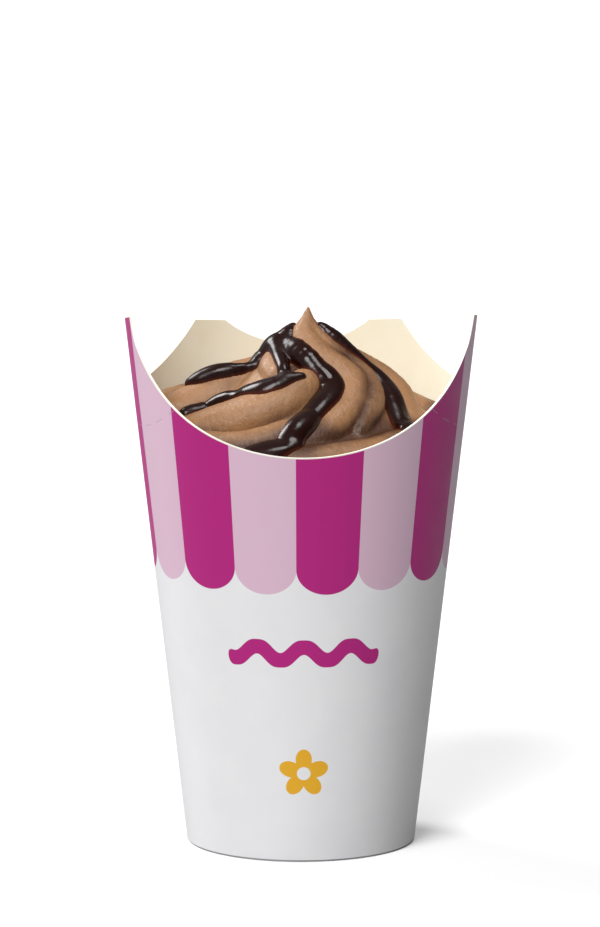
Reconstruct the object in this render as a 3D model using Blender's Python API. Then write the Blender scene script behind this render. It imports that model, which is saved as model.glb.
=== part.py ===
"""A sundae in a paper cup: chocolate soft serve, piped up to a point, with thick hot fudge poured over it.

The cup is a cone of paperboard. Its rim is one wavy cut: a deep scoop at the front, a tab on each
side, a dip behind each tab, and two low tabs at the back with a notch between them. A disc with a
skirt closes the bottom, and the cup's lower edge folds in around that skirt.
The ice cream fills the cup and heaps above the scoop. Its heap is a mound with rounded ribs, which
the star nozzle leaves. Each rib is a rope with its own path and thickness, and all melt together.
The fudge is two poured bodies that lie on that heap.
Lengths are in millimetres until a vertex is made. The front of the cup faces -Y.
"""

import math

import bmesh
import bpy
import numpy as np

MM = 0.001
GAP = 0.3  # between pieces that touch

# ---- the cup ----
BASE_RADIUS = 25.0
FLARE = 0.118  # radius gained for each millimetre of height
PAPER = 0.5
RIM_STEP = 4.0  # degrees between two columns of the wall

SCOOP_LOW = 93.6  # height of the scoop's lowest point
SCOOP_RADIUS = 79.0  # of its arc in the flat blank
SCOOP_STEEPENS = 73.0  # from here to the tab the cut rises faster than the arc
SCOOP_STEEPENING = 0.26
TAB_FRONT = (76.5, 119.97)  # side tab's front corner: angle from the front, height
TAB_REAR = (91.0, 117.5)
DIP_ENTRY = (97.6, 106.7)  # where the tab's straight rear edge meets the dip's small arc
DIP_LOW = (110.0, 101.2)
DIP_ENTRY_RADIUS = 8.8
DIP_RADIUS = 29.0
BACK_TAB = (143.0, 155.0)  # its two corners
NOTCH_LOW = 103.4
NOTCH_RADIUS = 24.7

SEAM_ANGLE = 170.0  # the blank's ends lap here
SEAM_HALF = 4.4
SEAM_RAMP = 9.0

HEM_HEIGHT = 6.5  # the lower edge, folded in around the disc's skirt
FLOOR_TOP = 8.5  # upper face of the bottom disc
SKIRT_BOTTOM = 1.4
DISC_BEND = 1.2

# ---- the ice cream ----
AXIS = (1.5, 1.0)  # the swirl's axis stands a little off the cup's
MOUND = (
    (0.0, 119.4),
    (0.8, 118.4),
    (2.0, 116.4),
    (6.0, 112.9),
    (10.0, 109.4),
    (15.0, 105.6),
    (20.0, 101.4),
    (25.0, 97.0),
    (30.0, 93.8),
    (37.0, 92.4),
)
MOUND_DROP = 1.2  # the mound shows only between the ribs
MELT = 0.55  # how far the ribs melt into each other
# Each rib is (azimuth, distance from the axis, lift above the mound, radius) from its top to its foot.
RIBS = {
    "main": (
        (-31, 0.05, 0.1, 0.35),
        (-28, 1.3, 0.2, 1.2),
        (-22, 4.0, 0.8, 3.0),
        (12, 7.6, 1.2, 4.4),
        (36, 11.1, 1.6, 5.0),
        (43, 15.2, 2.0, 5.2),
        (39, 18.1, 2.2, 5.2),
        (29, 20.7, 2.3, 5.2),
        (16, 23.2, 2.4, 5.0),
        (4, 26.1, 2.4, 4.8),
        (-6, 29.2, 2.4, 4.5),
    ),
    "fold": (
        (50, 0.6, -0.2, 0.7),
        (48, 2.8, -0.1, 1.7),
        (52, 6.0, 0.3, 2.4),
        (64, 10.0, 0.8, 2.8),
        (66, 13.0, 1.2, 3.0),
        (59, 17.0, 1.9, 3.2),
        (48, 20.5, 2.4, 3.2),
        (37, 23.0, 2.0, 2.8),
        (28, 25.0, 0.6, 2.0),
    ),
    "right": (
        (100, 4.0, -0.8, 3.0),
        (104, 9.0, 0.4, 4.6),
        (104, 14.0, 1.6, 5.4),
        (98, 18.6, 2.6, 5.8),
        (88, 21.8, 2.6, 5.6),
        (74, 24.0, 2.0, 5.0),
        (62, 28.0, 1.2, 4.5),
        (54, 33.0, 1.0, 4.2),
        (44, 39.0, 0.8, 4.0),
    ),
    "under": (
        (-3, 29.5, -1.0, 4.0),
        (10, 27.5, -1.0, 4.0),
        (28, 26.0, -1.2, 4.0),
        (44, 25.5, -1.2, 4.0),
        (56, 26.5, -1.0, 4.0),
    ),
    "foot": (
        (-44, 38.0, 0.6, 4.0),
        (-22, 33.5, 1.4, 4.0),
        (-4, 32.0, 1.6, 4.2),
        (10, 31.0, 1.8, 4.5),
        (28, 30.5, 1.8, 4.5),
        (45, 29.5, 1.4, 4.5),
        (60, 31.0, 0.8, 4.2),
        (72, 36.0, 0.0, 4.0),
    ),
    "left_upper": (
        (-120, 4.5, -1.2, 2.6),
        (-105, 9.0, -1.8, 4.2),
        (-95, 14.0, 1.0, 5.0),
        (-90, 20.0, 4.2, 6.0),
        (-86, 26.0, 6.4, 6.2),
        (-80, 32.0, 6.8, 6.0),
        (-74, 40.0, 6.0, 6.0),
    ),
    "left_middle": (
        (-74, 39.0, 2.4, 5.0),
        (-66, 31.0, 3.8, 5.4),
        (-53, 26.5, 4.0, 5.6),
        (-38, 23.6, 3.9, 5.8),
        (-24, 20.6, 3.4, 5.6),
        (-12, 17.6, 3.0, 5.0),
        (-6, 15.6, 2.2, 4.4),
    ),
    "left_lower": (
        (-62, 39.0, 1.6, 4.2),
        (-50, 34.0, 3.2, 4.2),
        (-30, 32.0, 4.0, 4.4),
        (-20, 29.8, 4.2, 4.4),
        (-11, 27.7, 3.8, 4.2),
        (-4, 26.0, 2.6, 4.0),
    ),
    "shoulder": (
        (-100, 2.0, -0.3, 1.0),
        (-95, 4.5, 0.0, 2.6),
        (-75, 8.0, 0.4, 3.6),
        (-55, 11.0, 0.9, 4.0),
        (-35, 13.0, 1.0, 4.0),
    ),
    "back_middle": (
        (150, 1.2, -0.2, 0.8),
        (165, 6.0, 0.6, 4.0),
        (-178, 11.0, 0.8, 5.0),
        (-172, 17.0, 2.0, 5.5),
        (-178, 22.0, 2.8, 5.5),
        (170, 27.0, 3.2, 5.5),
        (152, 32.0, 2.2, 5.0),
        (140, 38.0, 1.0, 5.0),
    ),
    "back_left": (
        (-140, 2.5, -0.2, 1.6),
        (-135, 8.0, -0.6, 4.5),
        (-128, 14.0, -0.4, 5.0),
        (-125, 20.0, 2.8, 5.6),
        (-130, 26.0, 4.6, 5.8),
        (-140, 32.0, 4.2, 5.4),
        (-150, 39.0, 3.0, 5.0),
    ),
    "back_right": (
        (120, 4.0, -0.2, 2.6),
        (128, 10.0, 0.8, 4.6),
        (135, 16.0, 2.0, 5.2),
        (135, 22.0, 2.6, 5.4),
        (126, 27.0, 2.2, 5.2),
        (114, 32.0, 1.4, 4.6),
        (104, 38.0, 0.6, 4.4),
    ),
    "outer_coil": (
        (-100, 33.0, 6.0, 4.5),
        (-125, 33.0, 5.0, 4.6),
        (-150, 33.0, 4.2, 4.6),
        (-175, 33.0, 3.2, 4.4),
        (160, 33.0, 2.2, 4.2),
        (130, 33.0, 1.2, 4.2),
        (100, 33.0, 0.6, 4.0),
        (80, 33.0, 0.2, 4.0),
    ),
}
RIB_STEPS = 4  # pieces of rope between two stated points
RAY_ORIGIN = (0.0, 0.0, 78.0)  # from here every part of the heap is in sight
CREAM_COLUMNS = 80
CREAM_RINGS = 25
RING_CROWDING = 1.45  # the rings crowd together towards the point

# ---- the fudge ----
# Each strand is (azimuth, distance from the axis, half width, height of the bead) along its run.
FUDGE_LEFT = (
    (
        (-100, 3.4, 1.1, 0.9),
        (-80, 5.2, 2.1, 1.4),
        (-80, 7.3, 2.5, 1.6),
        (-87, 8.9, 2.8, 1.8),
        (-86, 10.4, 2.6, 1.7),
        (-78, 11.8, 1.7, 1.3),
    ),
    (
        (-77, 11.4, 0.9, 0.9),
        (-78, 13.4, 1.0, 1.0),
        (-79, 15.9, 1.4, 1.3),
        (-82, 18.8, 2.0, 1.7),
        (-85, 21.7, 2.3, 1.9),
        (-86, 24.0, 2.2, 1.8),
        (-87, 25.8, 1.5, 1.3),
    ),
    (
        (-78, 7.6, 1.9, 1.4),
        (-50, 8.7, 1.8, 1.4),
        (-33, 11.0, 1.6, 1.3),
        (-24, 13.4, 1.5, 1.3),
        (-18, 16.2, 1.5, 1.3),
    ),
    (
        (-6, 15.8, 1.0, 0.9),
        (-14, 16.6, 1.7, 1.2),
        (-22, 17.7, 2.3, 1.5),
        (-31, 18.9, 2.8, 1.6),
        (-40, 19.3, 2.6, 1.6),
        (-50, 19.0, 2.3, 2.1),
        (-60, 19.8, 2.3, 2.8),
        (-67, 21.6, 2.3, 2.9),
        (-70, 23.8, 2.1, 2.6),
        (-70, 26.3, 2.4, 2.6),
        (-70, 28.4, 2.0, 2.1),
    ),
    (
        (-72, 4.4, 1.6, 1.1),
        (-30, 6.3, 2.4, 1.5),
        (-5, 8.5, 2.7, 1.6),
        (9, 10.4, 3.0, 1.8),
        (19, 12.7, 3.6, 2.0),
        (21, 15.2, 3.7, 2.2),
        (16, 17.6, 3.6, 2.2),
        (8, 20.3, 3.4, 2.1),
        (1, 23.0, 3.2, 2.0),
        (-5, 27.0, 3.0, 1.8),
        (-10, 30.0, 3.0, 1.6),
        (-16, 32.2, 3.0, 1.5),
        (-22, 34.6, 2.7, 1.2),
    ),
    (
        (-6, 31.0, 1.8, 1.1),
        (-12, 33.4, 2.0, 1.1),
        (-18, 35.0, 1.7, 1.0),
        (-24, 36.2, 1.2, 0.9),
    ),
)
FUDGE_RIGHT = (
    (
        (98, 3.0, 1.4, 1.2),
        (92, 5.4, 2.7, 1.8),
        (85, 7.8, 2.6, 1.8),
        (83, 10.3, 2.4, 1.8),
        (81, 13.1, 2.7, 1.9),
        (79, 15.7, 3.1, 2.0),
        (75, 17.8, 3.3, 2.0),
        (69, 19.7, 3.1, 2.0),
        (62, 21.8, 3.1, 2.0),
        (56, 24.6, 3.1, 1.9),
        (52, 27.6, 2.7, 1.6),
        (49, 30.7, 2.1, 1.2),
    ),
)
STRAND_STEPS = 5
FUDGE_MELT = 1.0
FUDGE_EDGE = 0.3  # thickness at the rim of a pour


# ---------------------------------------------------------------- helpers
def clear_scene():
    for obj in list(bpy.data.objects):
        bpy.data.objects.remove(obj, do_unlink=True)


def material(name, rgb, roughness):
    mat = bpy.data.materials.new(name)
    mat.use_nodes = True
    shader = mat.node_tree.nodes["Principled BSDF"]
    shader.inputs["Base Color"].default_value = (*rgb, 1.0)
    shader.inputs["Roughness"].default_value = roughness
    mat.diffuse_color = (*rgb, 1.0)
    return mat


def add_object(name, points, faces, mat):
    """One closed body from points in millimetres."""
    mesh = bpy.data.meshes.new(name)
    mesh.from_pydata([tuple(float(c) * MM for c in p) for p in points], [], [tuple(f) for f in faces])
    mesh.validate()
    bm = bmesh.new()
    bm.from_mesh(mesh)
    bmesh.ops.recalc_face_normals(bm, faces=bm.faces)
    bmesh.ops.triangulate(bm, faces=[f for f in bm.faces if len(f.verts) > 4])
    bm.to_mesh(mesh)
    bm.free()
    mesh.materials.append(mat)
    obj = bpy.data.objects.new(name, mesh)
    part.objects.link(obj)
    return obj


def wall_radius(z):
    """The cup's outer radius at a height."""
    return BASE_RADIUS + FLARE * z


# ---------------------------------------------------------------- the rim's cut
def scoop_height(angle):
    """The scoop is a circle in the flat blank, where the cone's slant lines meet at its apex."""
    slant = math.sqrt(1 + FLARE**2)
    apex = BASE_RADIUS / FLARE
    centre = (SCOOP_LOW + apex) * slant + SCOOP_RADIUS
    turn = math.radians(angle) * FLARE / slant
    s = centre * math.cos(turn) - math.sqrt(SCOOP_RADIUS**2 - (centre * math.sin(turn)) ** 2)
    return s / slant - apex + SCOOP_STEEPENING * max(0.0, angle - SCOOP_STEEPENS) ** 2


def arc_height(angle, low_angle, low, radius):
    """A circular cut whose lowest point is at low_angle."""
    along = math.radians(abs(angle - low_angle)) * wall_radius(low)
    return low + radius - math.sqrt(radius**2 - along**2)


def between(angle, start, end):
    share = (angle - start[0]) / (end[0] - start[0])
    return start[1] + share * (end[1] - start[1])


def rim_height(angle):
    a = abs((angle + 180.0) % 360.0 - 180.0)
    if a <= TAB_FRONT[0] - 1e-9:
        return min(scoop_height(a), TAB_FRONT[1])
    if a <= TAB_REAR[0]:
        return between(a, TAB_FRONT, TAB_REAR)
    if a <= DIP_ENTRY[0]:
        return between(a, TAB_REAR, DIP_ENTRY)
    if a <= DIP_LOW[0]:
        return arc_height(a, *DIP_LOW, DIP_ENTRY_RADIUS)
    if a <= BACK_TAB[0]:
        return arc_height(a, *DIP_LOW, DIP_RADIUS)
    if a <= BACK_TAB[1]:
        outer = (BACK_TAB[0], arc_height(BACK_TAB[0], *DIP_LOW, DIP_RADIUS))
        inner = (BACK_TAB[1], arc_height(BACK_TAB[1], 180.0, NOTCH_LOW, NOTCH_RADIUS))
        return between(a, outer, inner)
    return arc_height(a, 180.0, NOTCH_LOW, NOTCH_RADIUS)


def rim_angles():
    """Even columns, with one at every corner of the cut and at both cut edges of the seam."""
    marks = []
    for corner in (TAB_FRONT[0], TAB_REAR[0], DIP_ENTRY[0], *BACK_TAB):
        marks += [corner, -corner]
    lap = (SEAM_ANGLE - SEAM_HALF, SEAM_ANGLE + SEAM_HALF)
    marks += [a + d for a in lap for d in (-0.05, 0.05)]
    marks.append(SEAM_ANGLE - SEAM_HALF - SEAM_RAMP)
    even = [RIM_STEP * k - 180.0 for k in range(int(360 / RIM_STEP))]
    even = [a for a in even if min(abs(a - m) for m in marks) > 0.4 * RIM_STEP]
    return sorted(even + marks)


def seam_lift(angle):
    """How far the lapped sheet stands out, on the outside and on the inside of the wall."""
    start = SEAM_ANGLE - SEAM_HALF
    if angle < start - SEAM_RAMP or angle > SEAM_ANGLE + SEAM_HALF:
        return 0.0, 0.0
    if angle < start:
        share = (angle - start + SEAM_RAMP) / SEAM_RAMP
        rise = PAPER * share * share * (3 - 2 * share)
        return rise, rise
    return PAPER, 0.0


# ---------------------------------------------------------------- the cup
def build_wall():
    points, columns = [], []
    for angle in rim_angles():
        out, inside = seam_lift(angle)
        top = rim_height(angle)
        hem = 2 * PAPER + 2 * GAP
        section = [
            (out, 0.45),
            (out, top),
            (inside - PAPER, top),
            (inside - PAPER, PAPER + 0.1),
            (-hem, PAPER + 0.1),
            (-hem, HEM_HEIGHT),
            (-hem - PAPER, HEM_HEIGHT),
            (-hem - PAPER, 0.4),
            (-hem - PAPER + 0.4, 0.0),
            (-0.4, 0.0),
        ]
        t = math.radians(angle)
        column = []
        for offset, z in section:
            r = wall_radius(z) + offset
            column.append(len(points))
            points.append((r * math.sin(t), -r * math.cos(t), z))
        columns.append(column)
    faces = []
    for left, right in zip(columns, columns[1:] + columns[:1]):
        for k in range(len(left)):
            n = (k + 1) % len(left)
            faces.append((left[k], right[k], right[n], left[n]))
    return points, faces


def build_floor():
    """A disc whose edge turns down into a skirt between the wall and its hem."""
    def skirt(z, inset):
        return wall_radius(z) - PAPER - GAP - inset

    bend = [math.radians(a) for a in (0, 30, 60, 90)]
    outer = [
        (
            skirt(FLOOR_TOP, 0) - DISC_BEND * (1 - math.sin(a)),
            FLOOR_TOP - DISC_BEND * (1 - math.cos(a)),
        )
        for a in bend
    ]
    outer.append((skirt(SKIRT_BOTTOM, 0), SKIRT_BOTTOM))
    inner_top = FLOOR_TOP - PAPER
    inner = [
        (skirt(SKIRT_BOTTOM, PAPER), SKIRT_BOTTOM),
        (skirt(inner_top - 0.7, PAPER), inner_top - 0.7),
        (skirt(inner_top, PAPER) - 0.7, inner_top),
    ]
    section = outer + inner
    count = 36
    points = [(0.0, 0.0, FLOOR_TOP), (0.0, 0.0, inner_top)]
    for k in range(count):
        t = 2 * math.pi * k / count
        points += [(r * math.sin(t), -r * math.cos(t), z) for r, z in section]
    size = len(section)
    faces = []
    for k in range(count):
        a, b = 2 + k * size, 2 + (k + 1) % count * size
        faces.append((0, a, b))
        faces += [(a + i, a + i + 1, b + i + 1, b + i) for i in range(size - 1)]
        faces.append((1, b + size - 1, a + size - 1))
    return points, faces


# ---------------------------------------------------------------- ropes and the mound
def mound_height(r):
    table = np.array(MOUND)
    return np.interp(r, table[:, 0], table[:, 1])


def mound_normal(azimuth, r):
    fall = (mound_height(r + 1.0) - mound_height(max(r - 1.0, 0.0))) / (1.0 + min(r, 1.0))
    a = math.radians(azimuth)
    n = np.array([-fall * math.sin(a), fall * math.cos(a), 1.0])
    return n / np.linalg.norm(n)


def around_axis(azimuth, r, z):
    a = math.radians(azimuth)
    return np.array([AXIS[0] + r * math.sin(a), AXIS[1] - r * math.cos(a), z])


def smooth_path(stations, steps):
    """A smooth curve through rows of numbers, with steps pieces between two rows."""
    rows = np.array(stations, float)
    slopes = np.gradient(rows, axis=0)
    curve = []
    for i in range(len(rows) - 1):
        for k in range(steps):
            u = k / steps
            curve.append(
                (2 * u**3 - 3 * u**2 + 1) * rows[i]
                + (u**3 - 2 * u**2 + u) * slopes[i]
                + (3 * u**2 - 2 * u**3) * rows[i + 1]
                + (u**3 - u**2) * slopes[i + 1]
            )
    curve.append(rows[-1])
    return np.array(curve)


def rope_of(rib):
    stations = []
    for azimuth, r, lift, radius in rib:
        crest = around_axis(azimuth, r, mound_height(r) + lift)
        stations.append((*(crest - radius * mound_normal(azimuth, r)), radius))
    return smooth_path(stations, RIB_STEPS)


def rope_distance(points, rope):
    """Signed distance from points to a rope of round-ended pieces."""
    best = np.full(len(points), 1e9)
    for a, b in zip(rope[:-1], rope[1:]):
        along = b[:3] - a[:3]
        away = points - a[:3]
        t = np.clip(away @ along / (along @ along), 0, 1)
        d = np.linalg.norm(away - t[:, None] * along, axis=1) - (a[3] + t * (b[3] - a[3]))
        best = np.minimum(best, d)
    return best


def melted(a, b, reach):
    """The lower of two distances, rounded off where they are nearly equal."""
    h = np.clip(0.5 + 0.5 * (b - a) / reach, 0, 1)
    return b + (a - b) * h - reach * h * (1 - h)


def cream_distance(points):
    r = np.hypot(points[:, 0] - AXIS[0], points[:, 1] - AXIS[1])
    d = (points[:, 2] - mound_height(r) + MOUND_DROP) * 0.7
    for rope in cream_ropes:
        d = melted(d, rope_distance(points, rope), MELT)
    return d


def fudge_distance(points, ropes):
    d = np.full(len(points), 1e9)
    for rope in ropes:
        d = melted(d, rope_distance(points, rope), FUDGE_MELT)
    return d


def outermost(distance, starts, directions, reach):
    """How far along each ray the surface lies, searched from the far end inwards."""
    t = np.array(reach, float)
    for _ in range(90):
        d = distance(starts + t[:, None] * directions)
        t = t - np.clip(d, -0.5, 4.0) * 0.85
        t = np.maximum(t, 0.0)
    return t


def strand_ropes(strands):
    """Beads laid on the cream: each stands proud by its stated height at its middle."""
    ropes = []
    for strand in strands:
        rows = smooth_path(strand, STRAND_STEPS)
        feet = np.array([around_axis(az, r, 126.0) for az, r, _, _ in rows])
        down = np.tile((0.0, 0.0, -1.0), (len(feet), 1))
        fall = np.zeros(len(feet))
        for _ in range(80):
            fall = fall + np.clip(cream_distance(feet + fall[:, None] * down), -0.4, 4.0) * 0.85
        stations = []
        for (az, r, half, bead), foot, drop in zip(rows, feet, fall):
            radius = (half**2 + bead**2) / (2 * bead)
            top = foot + (0.0, 0.0, -drop)
            stations.append((*(top + (bead - radius) * mound_normal(az, r)), radius))
        ropes.append(np.array(stations))
    return ropes


# ---------------------------------------------------------------- the ice cream
def heap_rays():
    """Rays from inside the heap: the first meets its point and the last ring meets the cup's wall."""
    origin = np.array(RAY_ORIGIN)
    tip = np.array((*AXIS, MOUND[0][1]))
    angles = [2 * math.pi * k / CREAM_COLUMNS for k in range(CREAM_COLUMNS)]
    wall = []
    for t in angles:
        low, high = 88.0, 112.0
        for _ in range(40):
            z = (low + high) / 2
            r = wall_radius(z) - PAPER - GAP
            here = np.array([[r * math.sin(t), -r * math.cos(t), z]])
            if cream_distance(here)[0] < 0:
                low = z
            else:
                high = z
        r = wall_radius(low) - PAPER - GAP
        wall.append((r * math.sin(t), -r * math.cos(t), low))
    wall = np.array(wall)
    shares = [(k / CREAM_RINGS) ** RING_CROWDING for k in range(1, CREAM_RINGS)]
    aims = [tip] + [tip + s * (w - tip) + (0, 0, 6 * s * (1 - s)) for s in shares for w in wall]
    rays = np.array(aims) - origin
    return rays / np.linalg.norm(rays, axis=1)[:, None], wall


def heap_points():
    rays, wall = heap_rays()
    origin = np.array(RAY_ORIGIN)
    starts = np.tile(origin, (len(rays), 1))
    reach = outermost(cream_distance, starts, rays, np.full(len(rays), 52.0))
    top = origin + reach[:, None] * rays
    edge = (wall - origin) / np.linalg.norm(wall - origin, axis=1)[:, None]
    return np.vstack([top, wall]), np.vstack([rays, edge])


def heap_triangles():
    n = CREAM_COLUMNS
    triangles = [(0, 1 + k, 1 + (k + 1) % n) for k in range(n)]
    for ring in range(CREAM_RINGS - 1):
        a, b = 1 + ring * n, 1 + (ring + 1) * n
        for k in range(n):
            m = (k + 1) % n
            triangles.append((a + k, b + k, b + m))
            triangles.append((a + k, b + m, a + m))
    return triangles


def build_cream(points):
    """The heap, closed by the cup's inner wall and floor."""
    n = CREAM_COLUMNS
    floor_z = FLOOR_TOP + GAP
    r = wall_radius(floor_z) - PAPER - GAP
    turn = [2 * math.pi * k / n for k in range(n)]
    ring = [(r * math.sin(t), -r * math.cos(t), floor_z) for t in turn]
    body = [tuple(p) for p in points] + ring + [(0.0, 0.0, floor_z)]
    edge = len(points) - n
    low = len(points)
    faces = heap_triangles()
    for k in range(n):
        m = (k + 1) % n
        faces.append((edge + k, low + k, low + m))
        faces.append((edge + k, low + m, edge + m))
        faces.append((low + k, low + n, low + m))
    return body, faces


# ---------------------------------------------------------------- the fudge
def build_pour(points, rays, normals, strands):
    """The part of the strands that stands above the cream, cut out of the heap's own triangles."""
    ropes = strand_ropes(strands)
    starts = np.tile(np.array(RAY_ORIGIN), (len(rays), 1))
    reach = outermost(lambda p: fudge_distance(p, ropes), starts, rays, np.full(len(rays), 54.0))
    cream = np.linalg.norm(points - np.array(RAY_ORIGIN), axis=1)
    slant = np.clip((normals * rays).sum(axis=1), 0.4, 1.0)
    under = points + rays * (GAP / slant)[:, None]
    proud = reach - cream - GAP / slant - FUDGE_EDGE
    over = under + rays * (np.maximum(proud, 0.0) + FUDGE_EDGE)[:, None]
    r = np.hypot(over[:, 0], over[:, 1])
    proud = np.where(r > wall_radius(over[:, 2]) - PAPER - 2 * GAP, -1.0, proud)

    lower, upper, number = [], [], {}

    def corner(i):
        if i not in number:
            number[i] = len(lower)
            lower.append(under[i])
            upper.append(over[i])
        return number[i]

    def crossing(i, j):
        key = (min(i, j), max(i, j))
        if key not in number:
            a, b = key
            share = proud[a] / (proud[a] - proud[b])
            share = min(max(share, 0.08), 0.92)
            place = under[a] + share * (under[b] - under[a])
            ray = rays[a] + share * (rays[b] - rays[a])
            number[key] = len(lower)
            lower.append(place)
            upper.append(place + ray / np.linalg.norm(ray) * FUDGE_EDGE)
        return number[key]

    pieces = []
    for tri in heap_triangles():
        loop = []
        for i, j in zip(tri, tri[1:] + tri[:1]):
            if proud[i] > 0:
                loop.append(corner(i))
            if (proud[i] > 0) != (proud[j] > 0):
                loop.append(crossing(i, j))
        if len(loop) >= 3:
            pieces.append(loop)
    pieces = largest_piece(pieces)
    used = sorted({v for loop in pieces for v in loop})
    new = {v: k for k, v in enumerate(used)}
    size = len(used)
    body = [tuple(lower[v]) for v in used] + [tuple(upper[v]) for v in used]
    sides = {}
    faces = []
    for loop in pieces:
        ids = [new[v] for v in loop]
        faces.append(tuple(reversed(ids)))
        faces.append(tuple(i + size for i in ids))
        for a, b in zip(ids, ids[1:] + ids[:1]):
            sides[(a, b)] = True
    for a, b in sides:
        if (b, a) not in sides:
            faces.append((a, b, b + size, a + size))
    return body, faces


def largest_piece(loops):
    """The loops that hang together by their edges, in the largest such set."""
    by_edge = {}
    for k, loop in enumerate(loops):
        for a, b in zip(loop, loop[1:] + loop[:1]):
            by_edge.setdefault((min(a, b), max(a, b)), []).append(k)
    group = list(range(len(loops)))

    def root(k):
        while group[k] != k:
            k = group[k]
        return k

    for sharers in by_edge.values():
        for other in sharers[1:]:
            group[root(other)] = root(sharers[0])
    sets = {}
    for k in range(len(loops)):
        sets.setdefault(root(k), []).append(loops[k])
    return max(sets.values(), key=len)


def vertex_normals(points, triangles):
    normals = np.zeros_like(points)
    for i, j, k in triangles:
        n = np.cross(points[j] - points[i], points[k] - points[i])
        normals[i] += n
        normals[j] += n
        normals[k] += n
    normals /= np.linalg.norm(normals, axis=1)[:, None]
    outward = points - np.array(RAY_ORIGIN)
    flip = (normals * outward).sum(axis=1) < 0
    normals[flip] *= -1
    return normals


# ---------------------------------------------------------------- build
clear_scene()
part = bpy.data.collections.new("hot_fudge_sundae")
bpy.context.scene.collection.children.link(part)

paper_out = material("cup_paper", (0.86, 0.84, 0.84), 0.6)
paper_floor = material("cup_floor_paper", (0.84, 0.80, 0.70), 0.7)
cream_mat = material("chocolate_ice_cream", (0.42, 0.26, 0.16), 0.6)
fudge_mat = material("hot_fudge", (0.05, 0.012, 0.006), 0.15)

add_object("cup_wall", *build_wall(), paper_out)
add_object("cup_floor", *build_floor(), paper_floor)

cream_ropes = [rope_of(rib) for rib in RIBS.values()]
heap, heap_dirs = heap_points()
heap_normals = vertex_normals(heap, heap_triangles())
add_object("ice_cream", *build_cream(heap), cream_mat)
add_object("fudge_left", *build_pour(heap, heap_dirs, heap_normals, FUDGE_LEFT), fudge_mat)
add_object("fudge_right", *build_pour(heap, heap_dirs, heap_normals, FUDGE_RIGHT), fudge_mat)

total = sum(len(p.vertices) - 2 for o in part.objects for p in o.data.polygons)
print("triangles", {o.name: sum(len(p.vertices) - 2 for p in o.data.polygons) for o in part.objects}, total)
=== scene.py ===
# %% [markdown]
# # A hot fudge sundae in a paper cup
# The real thing is four simple materials: printed paperboard, its bare inside, chocolate soft serve
# and warm fudge. Nearly all of its character is in the heap on top, so most cells are about that.
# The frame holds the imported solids. Every piece made here rides on its body and stands for a solid.

# %% Frame, units and tools
import math
from functools import partial

import bmesh
import bpy
import numpy as np
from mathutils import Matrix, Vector
from mathutils import noise as noise_field


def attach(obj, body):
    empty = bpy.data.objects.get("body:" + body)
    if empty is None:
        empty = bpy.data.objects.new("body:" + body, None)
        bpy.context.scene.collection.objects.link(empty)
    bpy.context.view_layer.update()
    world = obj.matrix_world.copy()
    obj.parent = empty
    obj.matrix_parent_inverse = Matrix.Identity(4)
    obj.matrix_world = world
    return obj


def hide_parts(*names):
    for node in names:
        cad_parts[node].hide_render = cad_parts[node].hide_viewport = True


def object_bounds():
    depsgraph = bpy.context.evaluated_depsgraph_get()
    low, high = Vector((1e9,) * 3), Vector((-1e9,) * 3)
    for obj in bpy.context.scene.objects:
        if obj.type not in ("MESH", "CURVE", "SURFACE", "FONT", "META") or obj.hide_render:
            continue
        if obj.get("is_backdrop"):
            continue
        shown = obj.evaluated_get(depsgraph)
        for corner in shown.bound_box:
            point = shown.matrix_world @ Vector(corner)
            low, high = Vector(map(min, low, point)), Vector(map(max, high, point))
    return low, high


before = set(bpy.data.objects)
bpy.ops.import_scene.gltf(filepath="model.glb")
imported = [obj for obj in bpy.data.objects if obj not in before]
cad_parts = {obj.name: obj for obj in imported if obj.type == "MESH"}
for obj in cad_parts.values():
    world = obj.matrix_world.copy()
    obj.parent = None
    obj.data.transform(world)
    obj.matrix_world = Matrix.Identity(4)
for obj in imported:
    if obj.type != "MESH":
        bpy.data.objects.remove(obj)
solid_box = [list(corner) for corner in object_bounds()]
MM = 0.001
nodes_in_frame = sorted(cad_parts)
print("solids:", nodes_in_frame)
print("box in mm:", [[round(c / MM, 1) for c in corner] for corner in solid_box])

# %% [markdown]
# ## Camera
# A cup seen from far away shows almost no perspective, so an orthographic camera is the
# honest choice: its scale is one number, the height of the view. It looks down by a few degrees.

# %% Camera
LOOK_DOWN = math.radians(12.4)
LOOK_ROUND = math.radians(-1.3)
VIEW_HEIGHT = 0.2044
AIM = (-0.0002, 0.0, 0.0845)

camera = bpy.data.objects.new("camera", bpy.data.cameras.new("camera"))
bpy.context.scene.collection.objects.link(camera)
camera.data.type = "ORTHO"
camera.data.ortho_scale = VIEW_HEIGHT
camera.data.clip_end = 20.0
away = (
    math.sin(LOOK_ROUND) * math.cos(LOOK_DOWN),
    -math.cos(LOOK_ROUND) * math.cos(LOOK_DOWN),
    math.sin(LOOK_DOWN),
)
camera.location = [a + 0.8 * d for a, d in zip(AIM, away)]
camera.rotation_euler = (math.pi / 2 - LOOK_DOWN, 0.0, LOOK_ROUND)
bpy.context.scene.camera = camera
print("camera at", [round(c, 3) for c in camera.location])

# %% [markdown]
# ## Light
# The room is a pale studio that gets darker towards the right. One broad lamp stands at the left, a
# second grazes the cup from behind on that side, and a high one reaches over the rim. Sun lamps are
# used because their light doesn't fade with distance, so the floor stays even. A wide angle makes
# each of them a soft source.

# %% Lamps and room
SKY_LEFT, SKY_RIGHT = 0.4, 0.06  # how bright the room is on each side

scene = bpy.context.scene
scene.view_settings.view_transform = "Standard"


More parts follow.
